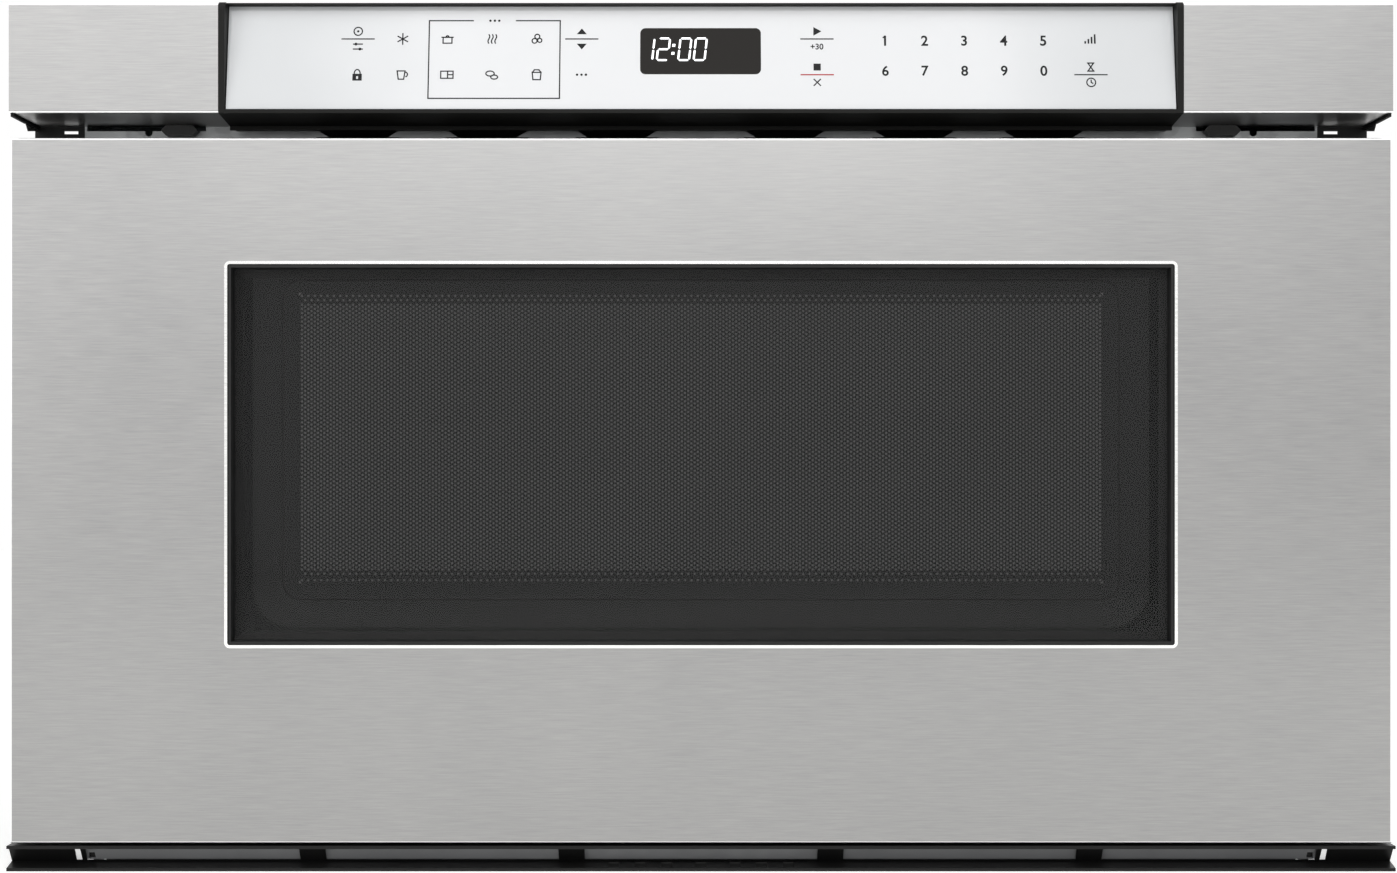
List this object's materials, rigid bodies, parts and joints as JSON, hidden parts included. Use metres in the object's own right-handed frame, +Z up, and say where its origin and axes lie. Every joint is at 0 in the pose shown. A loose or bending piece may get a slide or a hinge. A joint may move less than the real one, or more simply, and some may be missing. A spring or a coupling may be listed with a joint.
{
  "type": "microwave drawer",
  "caption": "Built-in microwave drawer with brushed steel front, dark window, leaning glass touch strip, motor-driven slide-out tray on telescopic rails, base air grille and cabinet flanges.",
  "frame": {"origin": "on the surface it stands on, under the middle of the whole appliance's box", "axes": "+X to the user's right, along the width; -Y out of the front, the way the drawer opens; +Z up"},
  "size_m": [0.6064, 0.5936, 0.38],
  "materials": {
    "stainless": "horizontal brushed stainless sheet",
    "polished_edge": "bright polished edge",
    "black_housing": "moulded black, satin",
    "white_glass": "white back-painted glass, glossy",
    "display": "smoked display lens",
    "tinted_glass": "dark tinted door glass",
    "black_screen": "perforated sheet, black enamel",
    "black_sheet": "black powder coat",
    "front_steel": "plain steel sheet",
    "galvanised": "galvanised sheet",
    "rail_steel": "bright zinc plated steel",
    "cavity_paint": "grey baked enamel",
    "glass_ceramic": "glass-ceramic plate, smooth",
    "mica": "pressed mica sheet",
    "black_plastic": "moulded black",
    "white_plastic": "moulded acetal, natural white",
    "motor_steel": "drawn motor can",
    "magnetron_steel": "plated yoke and aluminium fins",
    "core_steel": "varnished laminations",
    "can_aluminium": "drawn aluminium",
    "board": "green laminate"
  },
  "bodies": {
    "chassis": {"trim_filler_left": "stainless", "trim_filler_right": "stainless", "control_housing": "black_housing", "control_glass": "white_glass", "display_lens": "display", "base_grille": "black_sheet", "mounting_flange_left": "black_sheet", "mounting_flange_right": "black_sheet", "front_plate": "front_steel", "grille_brackets": "front_steel", "base_pan": "galvanised", "side_panel_left": "galvanised", "side_panel_right": "galvanised", "top_cover": "galvanised", "back_panel": "galvanised", "waveguide": "galvanised", "exhaust_duct": "galvanised", "interlock_brackets": "galvanised", "pinion_bearing": "galvanised", "outer_rail_left": "rail_steel", "outer_rail_right": "rail_steel", "flange_screws": "rail_steel", "cavity_shell": "cavity_paint", "waveguide_cover": "mica", "feet": "black_plastic", "cord_bushing": "black_plastic", "fan_shroud": "black_plastic", "interlock_switches": "black_plastic", "cavity_lamp": "black_plastic", "drive_gearbox": "white_plastic", "drive_motor": "motor_steel", "fan_motor": "motor_steel", "stirrer_motor": "motor_steel", "magnetron": "magnetron_steel", "transformer": "core_steel", "capacitor": "can_aluminium", "control_board": "board", "noise_filter_board": "board"},
    "drawer": {"drawer_skin": "stainless", "window_trim": "polished_edge", "window_bezel": "black_housing", "window_glass": "tinted_glass", "window_screen": "black_screen", "door_frame": "galvanised", "choke_ring": "galvanised", "choke_cover": "black_plastic", "tray_walls": "cavity_paint", "tray_base": "cavity_paint", "ceramic_plate": "glass_ceramic", "inner_rail_left": "rail_steel", "inner_rail_right": "rail_steel", "rail_arm_left": "galvanised", "rail_arm_right": "galvanised", "drive_rack": "white_plastic", "latch_hooks": "white_plastic"},
    "middle_rail_left": {"middle_rail_left": "rail_steel"},
    "middle_rail_right": {"middle_rail_right": "rail_steel"},
    "drive_pinion": {"drive_pinion": "white_plastic"},
    "fan_impeller": {"fan_impeller": "black_plastic"},
    "stirrer_fan": {"stirrer_fan": "can_aluminium"}
  },
  "joints": [
    {"name": "drawer_slide", "type": "slide", "parent": "chassis", "child": "drawer", "axis": [0, -1, 0], "range_m": [0, 0.381]},
    {"name": "middle_rail_left_slide", "type": "slide", "parent": "chassis", "child": "middle_rail_left", "axis": [0, -1, 0], "range_m": [0, 0.191]},
    {"name": "middle_rail_right_slide", "type": "slide", "parent": "chassis", "child": "middle_rail_right", "axis": [0, -1, 0], "range_m": [0, 0.191]},
    {"name": "pinion_spin", "type": "hinge", "parent": "chassis", "child": "drive_pinion", "pos_m": [0, -0.23375, 0.034], "axis": [1, 0, 0], "range_deg": [0, 1213]},
    {"name": "fan_spin", "type": "hinge", "parent": "chassis", "child": "fan_impeller", "pos_m": [0.15, 0.28185, 0.15], "axis": [0, 1, 0], "continuous": true},
    {"name": "stirrer_spin", "type": "hinge", "parent": "chassis", "child": "stirrer_fan", "pos_m": [0, -0.05, 0.295], "axis": [0, 0, 1], "continuous": true}
  ],
  "couplings": [
    {"joint": "middle_rail_left_slide", "follows": "drawer_slide", "ratio": 0.5},
    {"joint": "middle_rail_right_slide", "follows": "drawer_slide", "ratio": 0.5},
    {"joint": "pinion_spin", "follows": "drawer_slide", "rad_per_m": 55.556}
  ]
}
